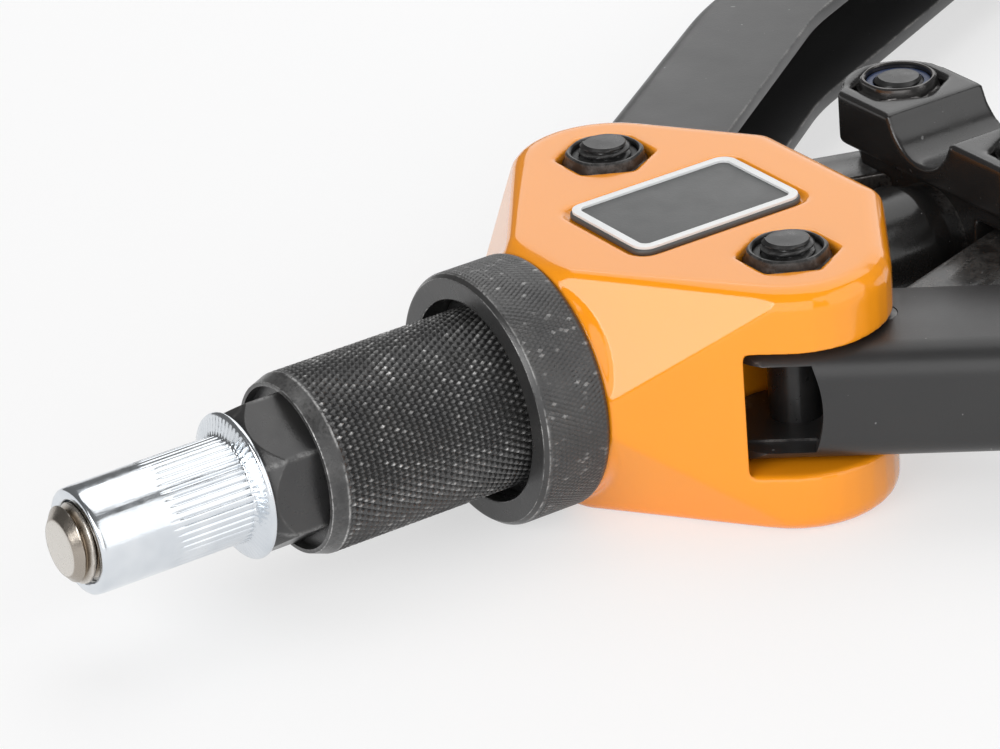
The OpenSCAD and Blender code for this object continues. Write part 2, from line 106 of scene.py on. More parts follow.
def surface(name, base, tint, rough, patch=60.0, grain=1500.0, bump=0.2, metal=0.0, wear=None,
            wear_patch=(220.0, 0.4, 0.68), fine=True, scratch=0.0, coat=0.0, ior=1.5, stretch=None):
    """A finish with patchy colour and roughness, fine grain, and bright wear where the mesh says so."""
    made = bpy.data.materials.new(name)
    made.use_nodes = True
    tree = made.node_tree
    shader = tree.nodes["Principled BSDF"]
    coord = add(tree, "ShaderNodeTexCoord").outputs["Object"]
    colour = blend_colour(tree, span(tree, noise(tree, coord, patch), 0.2, 0.8), base, tint)
    roughness = span(tree, noise(tree, coord, patch * 3, 3.0), 0.25, 0.75, rough[0], rough[1])
    height = noise(tree, coord, grain, 3.0, stretch)
    shader.inputs["Metallic"].default_value = metal
    shader.inputs["IOR"].default_value = ior
    if coat:
        shader.inputs["Coat Weight"].default_value = coat
        shader.inputs["Coat Roughness"].default_value = 0.05
    if scratch:
        lines = larger(tree, noise(tree, coord, 90.0, 4.0, (1.0, 30.0, 30.0)),
                       noise(tree, coord, 90.0, 4.0, (30.0, 1.0, 30.0)))
        specks = span(tree, noise(tree, coord, 900.0, 1.0), 0.77, 0.81)
        marks = times(tree, larger(tree, span(tree, lines, 0.78, 0.86), specks), scratch)
        colour = blend_colour(tree, marks, colour, SCRATCH_GREY)
    if wear:
        given = add(tree, "ShaderNodeAttribute", attribute_name="wear").outputs["Fac"]
        patches = span(tree, noise(tree, coord, wear_patch[0], 4.0), wear_patch[1], wear_patch[2])
        worn = times(tree, given, patches)
        if fine:
            worn = times(tree, worn, span(tree, noise(tree, coord, 1800.0, 2.0), 0.3, 0.55))
        colour = blend_colour(tree, worn, colour, wear)
        tree.links.new(span(tree, worn, 0.0, 1.0, metal, 1.0), shader.inputs["Metallic"])
    bumped = add(tree, "ShaderNodeBump", {"Height": height, "Strength": bump, "Distance": GRAIN_DEPTH})
    tree.links.new(colour, shader.inputs["Base Color"])
    tree.links.new(roughness, shader.inputs["Roughness"])
    tree.links.new(bumped.outputs[0], shader.inputs["Normal"])
    return made


STEEL = (0.66, 0.655, 0.645)
ORANGE = surface("orange_paint", (0.93, 0.32, 0.007), (0.91, 0.3, 0.006), (0.12, 0.18),
                 patch=40, grain=700, bump=0.1, coat=0.4)
BLACK = surface("black_paint", (0.02, 0.02, 0.021), (0.026, 0.026, 0.026), (0.32, 0.4),
                patch=40, grain=2600, scratch=0.6, wear=(0.3, 0.29, 0.28))
CAST_BLACK = surface("cast_black_paint", (0.012, 0.0115, 0.0115), (0.016, 0.0155, 0.015), (0.2, 0.3),
                     patch=60, grain=1100, scratch=0.4, wear=(0.2, 0.19, 0.18), ior=1.6)
TUBE_BLACK = surface("tube_black_paint", (0.011, 0.011, 0.011), (0.016, 0.0155, 0.015), (0.16, 0.26),
                     patch=60, grain=1300, scratch=0.5, wear=(0.2, 0.19, 0.18))
OXIDE = surface("black_oxide", (0.03, 0.03, 0.031), (0.044, 0.043, 0.042), (0.24, 0.36),
                patch=160, grain=2400, bump=0.25, metal=0.2, wear=STEEL,
                wear_patch=(260.0, 0.36, 0.66), ior=1.6)
FASTENER = surface("black_fastener", (0.012, 0.012, 0.0125), (0.02, 0.0195, 0.019), (0.24, 0.4),
                   patch=200, grain=1600, wear=(0.24, 0.235, 0.23), wear_patch=(320.0, 0.42, 0.7))
DARK_CHROME = surface("dark_chrome", (0.1, 0.095, 0.095), (0.14, 0.135, 0.13), (0.14, 0.24),
                      patch=200, grain=1600, bump=0.15, metal=0.9)
ZINC = surface("zinc_plate", (0.79, 0.82, 0.85), (0.66, 0.7, 0.745), (0.1, 0.24),
               patch=170, grain=900, bump=0.3, metal=1.0, stretch=(1.0, 0.12, 1.0))
NICKEL = surface("bare_steel", (0.16, 0.12, 0.08), (0.22, 0.17, 0.12), (0.2, 0.32), patch=300, grain=2000,
                 metal=1.0, wear=(0.68, 0.65, 0.605), wear_patch=(300.0, 0.05, 0.3), fine=False)
BADGE_DARK = surface("badge_dark", (0.09, 0.093, 0.093), (0.075, 0.077, 0.077), (0.4, 0.5),
                     patch=90, grain=2600, bump=0.3)
BADGE_LIGHT = surface("badge_light", (0.84, 0.85, 0.85), (0.8, 0.81, 0.81), (0.3, 0.42),
                      patch=110, grain=2200)
NYLON_BLACK = surface("nylon_black", (0.012, 0.012, 0.012), (0.018, 0.018, 0.018), (0.35, 0.5), grain=2000)
NYLON_BLUE = surface("nylon_blue", (0.02, 0.04, 0.11), (0.017, 0.033, 0.09), (0.3, 0.45), grain=2000)
RUBBER = surface("black_rubber", (0.018, 0.018, 0.018), (0.025, 0.025, 0.025), (0.6, 0.75),
                 patch=70, grain=900, bump=0.5)


# Mesh helpers
def new_object(name, mesh):
    made = bpy.data.objects.new(name, mesh)
    bpy.context.scene.collection.objects.link(made)
    return made


def from_points(name, points, faces, wear=None):
    """An object from points in millimetres, its faces turned outwards."""
    mesh = bpy.data.meshes.new(name)
    mesh.from_pydata((np.asarray(points, float) * MM).tolist(), [], faces)
    work = bmesh.new()
    work.from_mesh(mesh)
    bmesh.ops.recalc_face_normals(work, faces=work.faces)
    work.to_mesh(mesh)
    work.free()
    made = new_object(name, mesh)
    if wear is not None:
        set_wear(made, wear)
    return made


def set_wear(piece, values):
    layer = piece.data.attributes.get("wear") or piece.data.attributes.new("wear", "FLOAT", "POINT")
    layer.data.foreach_set("value", np.asarray(values, np.float32))


def wear_edges(piece, low=18.0, high=40.0):
    """Marks the points on outward edges, so that the finish wears there."""
    work = bmesh.new()
    work.from_mesh(piece.data)
    work.verts.ensure_lookup_table()
    values = np.zeros(len(work.verts))
    for edge in work.edges:
        if len(edge.link_faces) == 2:
            angle = math.degrees(edge.calc_face_angle_signed(0.0))
            share = min(1.0, max(0.0, (angle - low) / (high - low)))
            for vert in edge.verts:
                values[vert.index] = max(values[vert.index], share)
    work.free()
    set_wear(piece, values)


def dress(piece, material, body, replaced=(), sharp=38.0):
    """Gives a piece its finish and shading, and sets it on its body."""
    piece.data.materials.clear()
    piece.data.materials.append(material)
    piece.data.shade_smooth()
    piece.data.set_sharp_from_angle(angle=math.radians(sharp))
    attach(piece, body)
    if replaced:
        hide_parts(*replaced)
    return piece


def applied(piece):
    """Bakes a piece's modifiers into its mesh."""
    bpy.context.view_layer.update()
    graph = bpy.context.evaluated_depsgraph_get()
    mesh = bpy.data.meshes.new_from_object(piece.evaluated_get(graph))
    piece.modifiers.clear()
    piece.data = mesh
    return piece


def node_copy(name, *sources):
    """A new object with the meshes of some CAD nodes."""
    work = bmesh.new()
    for source in sources:
        work.from_mesh(nodes[source].data)
    bmesh.ops.remove_doubles(work, verts=work.verts, dist=2e-6)
    mesh = bpy.data.meshes.new(name)
    work.to_mesh(mesh)
    work.free()
    return new_object(name, mesh)


def soften(piece, voxel, rounds):
    """Remeshes a piece finely and rounds its edges."""
    remesh = piece.modifiers.new("remesh", "REMESH")
    remesh.mode = "VOXEL"
    remesh.voxel_size = voxel * MM
    smooth = piece.modifiers.new("smooth", "SMOOTH")
    smooth.factor = 0.5
    smooth.iterations = rounds
    return applied(piece)


def bevelled(piece, width, segments, angle):
    """Breaks a piece's edges that are sharper than an angle."""
    bevel = piece.modifiers.new("bevel", "BEVEL")
    bevel.width = width * MM
    bevel.segments = segments
    bevel.limit_method = "ANGLE"
    bevel.angle_limit = math.radians(angle)
    applied(piece)


def machined(name, source, width, segments=2):
    """A machined piece: the CAD node with its flat faces joined and its edges broken."""
    made = node_copy(name, source)
    work = bmesh.new()
    work.from_mesh(made.data)
    bmesh.ops.dissolve_limit(work, angle_limit=math.radians(0.6), verts=work.verts, edges=work.edges)
    work.to_mesh(made.data)
    work.free()
    bevelled(made, width, segments, 35.0)
    wear_edges(made, 12.0, 30.0)
    return made


def square(half):
    """Corners of a square about the origin."""
    return [(-half, -half), (half, -half), (half, half), (-half, half)]


def triangle(t):
    """A triangle wave from 0 to 1 with a period of 1."""
    return 1 - np.abs(2 * (t - np.floor(t)) - 1)


def fill(a, b, step):
    """Places from a to b, about a step apart, without b."""
    return list(np.linspace(a, b, max(2, int(round(abs(b - a) / step)) + 1))[:-1])


def revolve(name, rows, seg, shape=None, closed=False, upright=None):
    """A turned piece from (radius, place, wear) rows about the tool axis, or about an upright line
    at the given (x, y). shape(turn, radius, place) may change a row's radius and returns it with
    the wear of its points."""
    turn = np.arange(seg) * TAU / seg
    points, wear, rings = [], [], []
    for radius, place, *given in rows:
        if radius <= 0:
            r, w = np.zeros(1), np.zeros(1)
        else:
            r, w = shape(turn, radius, place) if shape else (np.full(seg, radius), np.zeros(seg))
        w = np.maximum(w, given[0] if given else 0.0)
        t = turn[:len(r)]
        start = len(points)
        if upright is None:
            ring = np.stack([r * np.cos(t), np.full(len(r), place), AXIS_H + r * np.sin(t)], -1)
        else:
            x, y = upright
            ring = np.stack([x + r * np.cos(t), y + r * np.sin(t), np.full(len(r), place)], -1)
        points.extend(ring.tolist())
        wear.extend(np.broadcast_to(w, r.shape).tolist())
        rings.append([start + (k if len(r) > 1 else 0) for k in range(seg)])
    faces = []
    for first, second in zip(rings, rings[1:] + rings[:1] if closed else rings[1:]):
        for k in range(seg):
            face = (first[k], first[(k + 1) % seg], second[(k + 1) % seg], second[k])
            face = tuple(dict.fromkeys(face))
            if len(face) > 2:
                faces.append(face)
    return from_points(name, points, faces, wear)


def hexagon(turn, flats, start=0.0):
    """Radius of a hexagon at each turn."""
    sector = math.pi / 3
    return flats / 2 / np.cos((turn - start + sector / 2) % sector - sector / 2)


# Nose
def chance(first, second):
    """A fixed number from 0 to 1 for each pair of whole numbers."""
    value = np.sin(first * 12.9898 + second * 78.233) * 43758.5453
    return value - np.floor(value)


SLEEVE_R, SLEEVE_FRONT, KNURL_FRONT, KNURL_REAR = 13.81, -73.3, -70.6, -37.6
NOSE_SEAT = -71.8


def sleeve_shape(turn, radius, place):
    """The sleeve's diamond knurl, which wears on the tips of some of its diamonds."""
    teeth, lead, depth = 75, 0.5, 0.5
    if radius < SLEEVE_R or not KNURL_FRONT <= place <= KNURL_REAR:
        return np.full(len(turn), radius), np.zeros(len(turn))
    u = teeth * turn / TAU
    first, second = u + lead * place, u - lead * place
    peak = np.minimum(1.0, np.minimum(triangle(first), triangle(second)) * 1.45)
    fade = min(1.0, (place - KNURL_FRONT) / 0.8 + 0.25)
    luck = chance(np.floor(first), np.floor(second))
    return radius - depth * fade * (1 - peak), np.clip((peak - 0.7) * 3.6, 0, 1) * (0.2 + 1.2 * luck ** 3)


rows = [(12.34, SLEEVE_FRONT, 0.3), (12.75, SLEEVE_FRONT, 0.1), (12.9, -73.29, 0.1), (12.96, -73.26, 1.0),
        (13.02, -73.08, 0.1), (13.7, -71.1, 0.1), (13.77, -70.9, 1.0), (13.8, -70.75, 0.4)]
rows += [(SLEEVE_R, y) for y in fill(KNURL_FRONT, KNURL_REAR, 0.2)]
rows += [(13.4, -37.25), (12.0, -37.2), (12.0, -17.0), (10.35, -17.0), (10.35, -56.0), (9.0, -56.0),
         (9.0, NOSE_SEAT), (12.34, NOSE_SEAT)]
sleeve = revolve("stroke_sleeve_knurled", rows, 600, sleeve_shape, closed=True)
dress(sleeve, OXIDE, "sleeve", ["stroke_sleeve"], 50)


RING_R, RING_FRONT, RING_REAR = 19.5, -41.1, -29.8


def ring_shape(turn, radius, place):
    """The ring's finer knurl, with one direction or the other pressed deeper round the ring."""
    teeth, lead, depth = 160, 0.75, 0.2
    if radius < RING_R:
        return np.full(len(turn), radius), np.zeros(len(turn))
    u = teeth * turn / TAU
    first = np.clip(1 - triangle(u + lead * place) * 3.2, 0, 1)
    second = np.clip(1 - triangle(u - lead * place) * 3.2, 0, 1)
    sway = 0.5 + 0.5 * np.sin(3 * turn + 0.9) * np.cos(5 * turn + 0.35 * place)
    groove = np.maximum(first * (0.45 + 0.55 * sway), second * (1.0 - 0.7 * sway))
    luck = chance(np.floor(u + lead * place), np.floor(u - lead * place))
    return radius - depth * groove, np.clip(0.5 - groove, 0, 0.5) * 2 * np.where(luck > 0.93, 0.5, 0.05)


rows = [(15.55, -40.9), (15.62, -41.02, 0.7), (15.75, RING_FRONT), (15.95, RING_FRONT), (18.4, RING_FRONT),
        (18.72, RING_FRONT), (18.8, -41.07, 1.0), (18.88, -41.0), (19.28, -40.5), (19.34, -40.4, 1.0),
        (19.42, -40.2, 0.2)]
rows += [(RING_R, y) for y in fill(-39.9, -30.4, 0.18)]
rows += [(19.3, -30.0), (19.0, RING_REAR), (12.05, RING_REAR), (12.05, -36.8), (15.4, -36.8), (15.6, -36.6)]
ring = revolve("lock_ring_knurled", rows, 960, ring_shape, closed=True)
dress(ring, OXIDE, "lock_ring", ["lock_ring"], 50)

NOSE_FLATS, NOSE_TURN, NOSE_FRONT, NOSE_SLANT = 20.5, math.radians(4), -81.2, 0.6
NOSE_CORNER = NOSE_FLATS / 2 / math.cos(math.pi / 6)
NOSE_CONE_R, NOSE_CONE_L, NOSE_HEX_ROW = 9.9, 3.5, 11.0


def nose_shape(turn, radius, place):
    """A hexagon in the wide rows, turned down to a cone at its front."""
    if radius < 9.5:
        return np.full(len(turn), radius), np.zeros(len(turn))
    cone = NOSE_CONE_R + (place - NOSE_FRONT) * NOSE_SLANT
    six = hexagon(turn, NOSE_FLATS, NOSE_TURN)
    r = np.minimum(np.minimum(six, cone if radius > 9.95 else radius), NOSE_CORNER - 0.12)
    corner = np.clip((six - NOSE_CORNER + 0.32) / 0.2, 0, 1)
    seam = np.clip(1 - np.abs(six - cone) / 0.12, 0, 1)
    return r, np.maximum(corner * 0.25, 0.12 * seam)


rows = [(6.0, NOSE_FRONT), (9.6, NOSE_FRONT), (NOSE_CONE_R, NOSE_FRONT)]
rows += [(NOSE_HEX_ROW, y) for y in fill(NOSE_FRONT + 0.08, NOSE_FRONT + NOSE_CONE_L, 0.12)]
rows += [(NOSE_HEX_ROW, y) for y in fill(NOSE_FRONT + NOSE_CONE_L, NOSE_SEAT, 0.6)]
rows += [(NOSE_HEX_ROW, NOSE_SEAT), (9.0, NOSE_SEAT), (9.0, -59.0), (6.0, -59.0)]
nose = revolve("nosepiece_hexagon", rows, 360, nose_shape, closed=True)
dress(nose, OXIDE, "sleeve", ["nosepiece"], 24)


# Rivet nut and mandrel
NUT_R, NUT_FRONT, NUT_RIBS, FLANGE_TEETH = 8.0, -107.5, 45, 66
RIBS_FRONT, FLANGE_START = -96.5, -83.05


def nut_shape(turn, radius, place):
    """Grooves between the shank's ribs, and teeth under the flange."""
    r = np.full(len(turn), radius)
    if radius == NUT_R and place > RIBS_FRONT:
        grow = min(1.0, (place - RIBS_FRONT) / 2.2)
        r -= 0.17 * grow * np.clip(1 - triangle(NUT_RIBS * turn / TAU) * 2.2, 0, 1) ** 1.3
    if 8.05 < radius < 10.5 and place < -81.9:
        r += 0.22 * (triangle(FLANGE_TEETH * turn / TAU) - 0.5)
    return r, np.zeros(len(turn))


rows = [(6.0, -107.0), (6.45, -107.45), (6.7, NUT_FRONT), (7.4, NUT_FRONT), (7.68, -107.42),
        (7.86, -107.2), (7.95, -106.8)]
rows += [(NUT_R, y) for y in (-106.3, -105.6, -105.5, -103.0, -100.0, -98.0)]
rows += [(NUT_R, y) for y in fill(RIBS_FRONT, FLANGE_START, 0.3)]
rows += [(NUT_R, FLANGE_START), (8.15, -82.9), (8.6, -82.75), (9.2, -82.55), (9.8, -82.35), (10.3, -82.18),
         (10.55, -82.08), (10.8, -81.98), (10.95, -81.84), (11.03, -81.66), (11.05, -81.5), (11.0, -81.3),
         (10.88, NOSE_FRONT), (6.85, NOSE_FRONT), (6.85, -95.0), (6.0, -95.2)]
nut = revolve("rivet_nut_knurled", rows, NUT_RIBS * 12, nut_shape, closed=True)
dress(nut, ZINC, "rivet_nut", ["rivet_nut"], 60)
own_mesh(nut)


def thread(pitch, depth, crest, phase=0.0, blank=0.4):
    """A screw thread below the given crest radius; blank is the wear where the row is below the thread."""
    def shape(turn, radius, place):
        wave = np.clip(triangle(place / pitch - turn / TAU + phase) * 1.5 - 0.2, 0, 1)
        cut = crest - depth * (1 - wave)
        return np.minimum(radius, cut), np.where(cut < radius, wave, blank)
    return shape


TIP, MANDREL_R, MANDREL_REAR = -110.4, 5.9, -36.0
rows = [(0, TIP, 1.0), (3.3, TIP, 1.0), (3.8, TIP + 0.02, 1.0), (4.0, TIP + 0.1, 1.0)]
rows += [(min(MANDREL_R, 4.05 + 1.25 * (y - TIP)), y) for y in fill(TIP + 0.16, -103.0, 0.1)]
rows += [(MANDREL_R, -102.9), (MANDREL_R, -45.8), (8.4, -45.8), (8.4, MANDREL_REAR), (0, MANDREL_REAR)]
mandrel = revolve("mandrel_threaded", rows, 128, thread(1.75, 0.95, MANDREL_R, 0.1))
dress(mandrel, NICKEL, "spindle", ["mandrel"], 60)


# Draw gear and fasteners
def plain_turned(name, rows, material, body, replaced, seg=128, closed=True):
    """A turned piece with no pattern, worn on its edges and dressed."""
    made = revolve(name, rows, seg, closed=closed)
    wear_edges(made, 16.0, 45.0)
    dress(made, material, body, replaced, 34)


plain_turned("draw_tube_turned",
             [(8.6, -52.0), (9.7, -52.0), (10.0, -51.7), (10.0, 37.7), (9.96, 38.0), (9.87, 38.3),
              (9.0, 41.0), (8.85, 41.4), (8.8, 41.8), (8.8, 44.1), (7.5, 44.1), (7.5, 53.8),
              (5.05, 53.8), (5.05, 30.0), (8.6, 30.0)],
             TUBE_BLACK, "yoke", ["draw_tube"])
plain_turned("mandrel_retainer_ring",
             [(6.0, -52.0), (8.4, -52.0), (8.6, -51.8), (8.6, -46.2), (8.4, -46.0), (6.0, -46.0)],
             OXIDE, "yoke", ["mandrel_retainer"], 96)
plain_turned("drive_shaft_turned",
             [(0, -43.4), (4.3, -43.4), (4.6, -43.1), (4.6, -36.0), (8.2, -36.0), (8.2, -32.3),
              (7.9, -32.0), (5.0, -32.0), (5.0, 86.8), (4.5, 87.3), (0, 87.3)],
             NICKEL, "spindle", ["drive_shaft"], 96, False)
plain_turned("thrust_washer_turned",
             [(5.05, 64.0), (9.8, 64.0), (10.0, 64.2), (10.0, 65.8), (9.8, 66.0), (5.05, 66.0)],
             ZINC, "yoke", ["thrust_washer"])

YOKE_VOXEL, YOKE_ROUNDS = 0.42, 12
yoke = soften(node_copy("yoke_casting", "yoke"), YOKE_VOXEL, YOKE_ROUNDS)
dress(yoke, CAST_BLACK, "yoke", ["yoke"], 80)

KNOB_R, FLUTES = 12.5, 12


def knob_shape(turn, radius, place):
    """Round flutes along the knob's body."""
    reach, cut = KNOB_R + 1.3, 2.4
    if radius < 9.5 or place < 70.4:
        return np.full(len(turn), radius), np.zeros(len(turn))
    off = (turn + math.pi / FLUTES) % (TAU / FLUTES) - math.pi / FLUTES
    side = reach * np.sin(off)
    inside = np.abs(side) < cut
    wall = reach * np.cos(off) - np.sqrt(np.where(inside, cut ** 2 - side ** 2, 0))
    r = np.where(inside, np.minimum(radius, wall), radius)
    return r, np.clip(1 - np.abs(np.abs(side) - cut) / 0.5, 0, 1) * (radius > 12)


rows = [(5.0, 66.3), (8.2, 66.3), (8.5, 66.5), (8.8, 68.0), (9.0, 69.3), (9.3, 69.7), (11.0, 70.45),
        (11.7, 70.8), (12.2, 71.3), (KNOB_R, 71.9)]
rows += [(KNOB_R, y) for y in fill(72.4, 88.6, 1.4)]
rows += [(KNOB_R, 88.6), (12.3, 89.2), (11.9, 89.8), (11.2, 90.2), (10.6, 90.3), (8.5, 90.3), (8.3, 90.1),
         (8.3, 82.3), (5.0, 82.3)]
knob = revolve("spin_knob_fluted", rows, FLUTES * 24, knob_shape, closed=True)
dress(knob, OXIDE, "spindle", ["spin_knob"], 45)


def hex_nut_rows(z0, z1, chamfer, steps):
    """Heights of a hexagon nut's rows, close together in its upper chamfer."""
    rise = [z1 - chamfer + chamfer * k / steps for k in range(steps + 1)]
    return [z0, z0 + 0.15] + fill(z0 + 0.4, z1 - chamfer, 0.8) + rise


FLATS, HEX_ROW, BOLT_R, BOLT_THREAD = 13.0, 7.0, 4.0, 9.0
CORNER = FLATS / 2 / math.cos(math.pi / 6)


def lock_nut(name, x, y, z, material, ring_material, body):
    """Lock nut with its crimped collar, and its plastic ring."""
    def shape(turn, radius, place):
        up = place - z
        if radius < 6.4 and up > 6.3:
            return radius + np.cos(6 * turn) * (0.1 if radius > 5.5 else 0.0), np.full(len(turn), 0.4)
        if radius < 5.5:
            return np.full(len(turn), radius), np.zeros(len(turn))
        six = hexagon(turn, FLATS)
        top = CORNER + 0.25 - max(0.0, up - 4.9) * 1.15
        bottom = CORNER - 0.35 + up * 1.2
        r = np.minimum(np.minimum(six, CORNER - 0.12), min(top, bottom))
        return r, np.clip((six - CORNER + 0.5) / 0.3, 0, 1)

    rows = [(BOLT_R, z)] + [(HEX_ROW, z + h) for h in hex_nut_rows(0.0, 6.2, 1.4, 10)]
    rows += [(6.15, z + 6.32), (6.05, z + 6.6), (6.0, z + 7.2), (5.9, z + 7.7), (5.65, z + 7.95),
             (5.4, z + 7.95), (5.2, z + 7.75), (5.2, z + 5.8), (BOLT_R, z + 5.8)]
    made = revolve(name, rows, 144, shape, closed=True, upright=(x, y))
    dress(made, material, body, (), 30)
    ring_rows = [(BOLT_R, z + 5.8), (5.2, z + 5.8), (5.2, z + 6.8), (5.05, z + 7.05), (4.5, z + 7.1),
                 (4.05, z + 7.0)]
    inner = revolve(name + "_ring", ring_rows, 72, closed=True, upright=(x, y))
    dress(inner, ring_material, body, (), 40)
    return made, inner


def bolt(name, x, y, z, reach, body):
    """Hexagon bolt that stands on its head, with a screwed upper end."""
    shape_end = thread(1.25, 0.75, BOLT_R, 0.3, 0.0)

    def shape(turn, radius, place):
        up = place - z
        if up <= 5.31 and radius > 4.5:
            six = hexagon(turn, FLATS)
            r = np.minimum(np.minimum(six, CORNER - 0.1), CORNER - 1.0 + up * 1.6)
            return (r if radius > 6.0 else np.minimum(r, radius)), np.clip((six - CORNER + 0.5) / 0.3, 0, 1)
        if up > reach - BOLT_THREAD:
            return shape_end(turn, radius, place)
        return np.full(len(turn), radius), np.zeros(len(turn))

    rows = [(0, z), (5.6, z)] + [(HEX_ROW, z + h) for h in fill(0.05, 1.1, 0.15)]
    rows += [(HEX_ROW, z + h) for h in (1.1, 3.4, 5.1)] + [(6.0, z + 5.3), (BOLT_R, z + 5.3)]
    rows += [(BOLT_R, z + reach - BOLT_THREAD - 0.1)]
    rows += [(BOLT_R, z + h) for h in fill(reach - BOLT_THREAD, reach - 0.9, 0.12)]
    rows += [(BOLT_R - 0.75 * k / 6, z + reach - 0.9 + 0.15 * k) for k in range(7)]
    rows += [(2.9, z + reach - 0.02), (1.4, z + reach), (0, z + reach)]
    made = revolve(name, rows, 96, shape, upright=(x, y))
    for vert in made.data.vertices:
        east, north, up = vert.co.x / MM - x, vert.co.y / MM - y, vert.co.z / MM - z
        if up > reach - 1.0:
            ramp = (math.atan2(north, east) + 2.2) / TAU % 1.0
            vert.co.z -= 0.6 * MM * ramp * min(1.0, max(0.0, (math.hypot(east, north) - 0.6) / 1.6))
    return dress(made, FASTENER, body, (), 30)


PIVOT_X, LINK_X, LINK_Y = 23.7, 17.5, 51.5
PIVOT_NUT_Z, PIVOT_BOLT_Z, PIVOT_BOLT_L = 32.0, 0.7, 40.8
YOKE_NUT_Z, YOKE_BOLT_Z, YOKE_BOLT_L = 31.2, 1.5, 37.8
for side, hand in ((1, "right"), (-1, "left")):
    made, inner = lock_nut(f"pivot_nut_{hand}", side * PIVOT_X, 0.0, PIVOT_NUT_Z, FASTENER, NYLON_BLACK,
                           "head")
    screw = bolt(f"pivot_bolt_{hand}", side * PIVOT_X, 0.0, PIVOT_BOLT_Z, PIVOT_BOLT_L, "head")
    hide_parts("pivot_nuts")
    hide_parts("pivot_nut_rings")
    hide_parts("pivot_bolts")
    made, inner = lock_nut(f"yoke_nut_{hand}", side * LINK_X, LINK_Y, YOKE_NUT_Z, DARK_CHROME, NYLON_BLUE,
                           "yoke")
    screw = bolt(f"yoke_bolt_{hand}", side * LINK_X, LINK_Y, YOKE_BOLT_Z, YOKE_BOLT_L, "yoke")
    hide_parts("yoke_nuts")
    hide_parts("yoke_nut_rings")
    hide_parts("yoke_bolts")

for hand in ("right", "left"):
    bar = machined(f"{hand}_link_bar", f"{hand}_link", 0.5)
    dress(bar, CAST_BLACK, f"{hand}_link", [f"{hand}_link"], 32)
    pin = machined(f"{hand}_link_rivet", f"{hand}_link_pin", 0.35)
    dress(pin, FASTENER, f"{hand}_lever", [f"{hand}_link_pin"], 32)
knob_nut = machined("knob_nut_hexagon", "knob_nut", 0.4)
dress(knob_nut, FASTENER, "spindle", ["knob_nut"], 32)


# Head
FACET_OUT, FACET_POINT = (0.523, -0.74, 0.422), (9.9, -27.4, 17.8)
CUTTER_HALF, CUTTER_DEPTH = 70, 40
HEAD_VOXEL, HEAD_ROUNDS = 0.36, 16
BADGE_Y, BORDER_IN_X, BORDER_IN_Y, BORDER_PUSH = -1.6, 8.7, 13.4, 0.45


def facet_cutter(side, level):
    """A block that lies outside one of the head's slanted front facets."""
    out = Vector((FACET_OUT[0] * side, FACET_OUT[1], FACET_OUT[2] * level)).normalized()
    along = out.orthogonal().normalized()
    across = out.cross(along)
    base = Vector((FACET_POINT[0] * side, FACET_POINT[1], AXIS_H + FACET_POINT[2] * level))
    corners = [base + along * u + across * v + out * w
               for w in (0, CUTTER_DEPTH) for u, v in square(CUTTER_HALF)]
    faces = [(0, 1, 2, 3), (4, 5, 6, 7), (0, 1, 5, 4), (1, 2, 6, 5), (2, 3, 7, 6), (3, 0, 4, 7)]
    return from_points("facet_cutter", corners, faces)


def cut_away(piece, cutter):
    """Takes a cutter's volume off a piece and deletes the cutter."""
    cut = piece.modifiers.new("cut", "BOOLEAN")
    cut.operation, cut.solver, cut.object = "DIFFERENCE", "EXACT", cutter
    applied(piece)
    bpy.data.objects.remove(cutter)


head = node_copy("head_painted", "head_casting")
for side in (1, -1):
    for level in (1, -1):
        cut_away(head, facet_cutter(side, level))
neck_rows = [(12.8, -29.78), (18.7, -29.78), (19.0, -29.5), (19.0, -25.6), (12.8, -25.6)]
neck = revolve("neck", neck_rows, 128, closed=True)
joined = bmesh.new()
for piece in (head, neck):
    joined.from_mesh(piece.data)
joined.to_mesh(head.data)
joined.free()
bpy.data.objects.remove(neck)
soften(head, HEAD_VOXEL, HEAD_ROUNDS)
dress(head, ORANGE, "head", ["head_casting"], 80)
plate = machined("badge_field", "badge_plate", 0.35, 3)
dress(plate, BADGE_DARK, "head", ["badge_plate"], 32)
border = machined("badge_border", "badge_frame", 0.15, 3)
for vert in border.data.vertices:
    off_y = vert.co.y - BADGE_Y * MM
    if abs(vert.co.x) < BORDER_IN_X * MM and abs(off_y) < BORDER_IN_Y * MM:
        vert.co.x += math.copysign(BORDER_PUSH * MM, vert.co.x)
        vert.co.y += math.copysign(BORDER_PUSH * MM, off_y)
dress(border, BADGE_LIGHT, "head", ["badge_frame"], 32)


# Levers and grips
LEVER_ANGLE, LEVER_BEND = math.radians(37.5), math.radians(10.5)
WEB_X, INNER_X, LEVER_H, SHEET, CORNER_R = 13.4, 8.6, 18.2, 2.5, 4.6
SHANK, TAIL, BEND_R = 80.0, 222.0, 60.0
MID_X, HEEL_R = (WEB_X - INNER_X) / 2, (WEB_X + INNER_X) / 2
GRIP_START, GRIP_L = 102.0, 128.0
BEND_ARC = BEND_R * LEVER_BEND
PIVOT_HOLE_R, PIN_Y, PIN_R = 4.05, 12.6, 3.0
BITE_R, BITE_X, BITE_HALF = 18.8, -14.3, 7
BEYOND, THROUGH = 40, 30


def lever_station(s):
    """Place and turn of the lever's middle line at a distance from the pivot."""
    if s <= SHANK:
        return 0.0, s, 0.0
    if s <= SHANK + BEND_ARC:
        a = (s - SHANK) / BEND_R
        return BEND_R * (math.cos(a) - 1), SHANK + BEND_R * math.sin(a), a
    rest = s - SHANK - BEND_ARC
    x, y, a = lever_station(SHANK + BEND_ARC)
    return x - rest * math.sin(a), y + rest * math.cos(a), a


